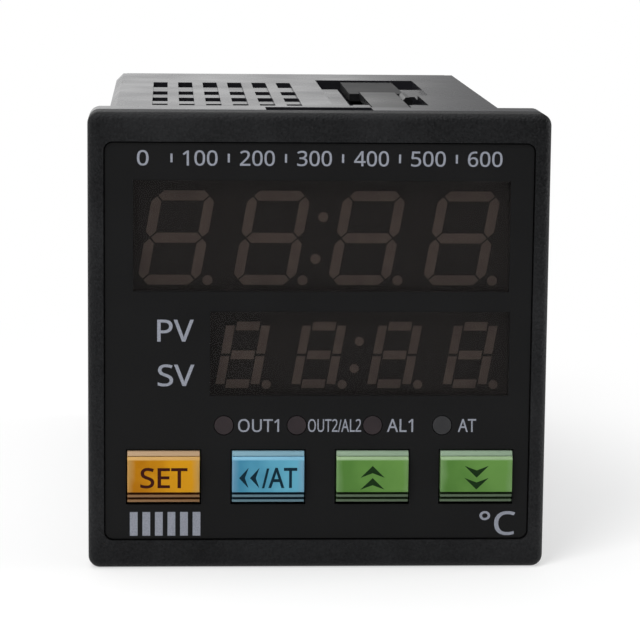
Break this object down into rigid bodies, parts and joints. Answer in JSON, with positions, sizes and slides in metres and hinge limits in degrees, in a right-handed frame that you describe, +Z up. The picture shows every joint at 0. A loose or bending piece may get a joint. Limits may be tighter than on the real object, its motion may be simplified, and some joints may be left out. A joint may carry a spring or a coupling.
{
  "type": "panel-mount temperature controller",
  "caption": "Square panel-mount temperature controller: dark front with two digit windows and four push keys, long vented case, rear screw terminals.",
  "frame": {"origin": "centre of the panel cut-out, in the plane where the flange behind the bezel seats on the panel", "axes": "+X to the right as seen from the front, +Y into the panel towards the terminals, +Z up"},
  "size_m": [0.048, 0.0866, 0.048],
  "materials": {
    "bezel_plastic": "fine spark-textured black moulding",
    "overlay_print": "satin black printed sheet",
    "smoked_lens": "smoked clear acrylic",
    "display_housing": "dark grey moulded display block",
    "segment_resin": "unlit diffusing resin",
    "lamp_red": "unlit red lamp behind smoke tint",
    "lamp_grey": "unlit clear lamp behind smoke tint",
    "key_orange": "translucent orange moulding",
    "key_blue": "translucent blue moulding",
    "key_green": "translucent green moulding",
    "switch_plastic": "black moulded plastic",
    "circuit_board": "green solder-masked laminate",
    "core_steel": "varnished laminations",
    "coil_tape": "yellow polyester tape over the winding",
    "relay_plastic": "blue moulded relay cover",
    "capacitor_sleeve": "dark shrink sleeve",
    "chip_epoxy": "matt epoxy",
    "case_plastic": "smooth satin black moulding",
    "terminal_plastic": "satin black moulding",
    "contact_brass": "tinned brass strip",
    "clamp_steel": "zinc-plated steel",
    "screw_steel": "zinc-plated steel"
  },
  "bodies": {
    "housing": {"front_bezel": "bezel_plastic", "front_overlay": "overlay_print", "window_lens": "smoked_lens", "pv_display": "display_housing", "pv_segments": "segment_resin", "sv_display": "display_housing", "sv_segments": "segment_resin", "lamp_out1": "lamp_red", "lamp_out2": "lamp_red", "lamp_alarm": "lamp_red", "lamp_tuning": "lamp_grey", "switch_set": "switch_plastic", "switch_shift": "switch_plastic", "switch_up": "switch_plastic", "switch_down": "switch_plastic", "display_board": "circuit_board", "power_board": "circuit_board", "control_board": "circuit_board", "transformer_core": "core_steel", "transformer_coil": "coil_tape", "output_relay": "relay_plastic", "alarm_relay": "relay_plastic", "mains_capacitor": "capacitor_sleeve", "supply_capacitor": "capacitor_sleeve", "controller_chip": "chip_epoxy", "case_shell": "case_plastic", "terminal_block": "terminal_plastic", "terminal_contacts": "contact_brass", "clamp_plates": "clamp_steel", "terminal_screws": "screw_steel"},
    "set_button": {"key_set": "key_orange", "plunger_set": "switch_plastic"},
    "shift_button": {"key_shift": "key_blue", "plunger_shift": "switch_plastic"},
    "up_button": {"key_up": "key_green", "plunger_up": "switch_plastic"},
    "down_button": {"key_down": "key_green", "plunger_down": "switch_plastic"}
  },
  "joints": [
    {"name": "set_press", "type": "slide", "parent": "housing", "child": "set_button", "axis": [0, 1, 0], "range_m": [0, 0.0003], "stiffness_N_per_m": 2000, "springref_m": -0.0003},
    {"name": "shift_press", "type": "slide", "parent": "housing", "child": "shift_button", "axis": [0, 1, 0], "range_m": [0, 0.0003], "stiffness_N_per_m": 2000, "springref_m": -0.0003},
    {"name": "up_press", "type": "slide", "parent": "housing", "child": "up_button", "axis": [0, 1, 0], "range_m": [0, 0.0003], "stiffness_N_per_m": 2000, "springref_m": -0.0003},
    {"name": "down_press", "type": "slide", "parent": "housing", "child": "down_button", "axis": [0, 1, 0], "range_m": [0, 0.0003], "stiffness_N_per_m": 2000, "springref_m": -0.0003}
  ]
}
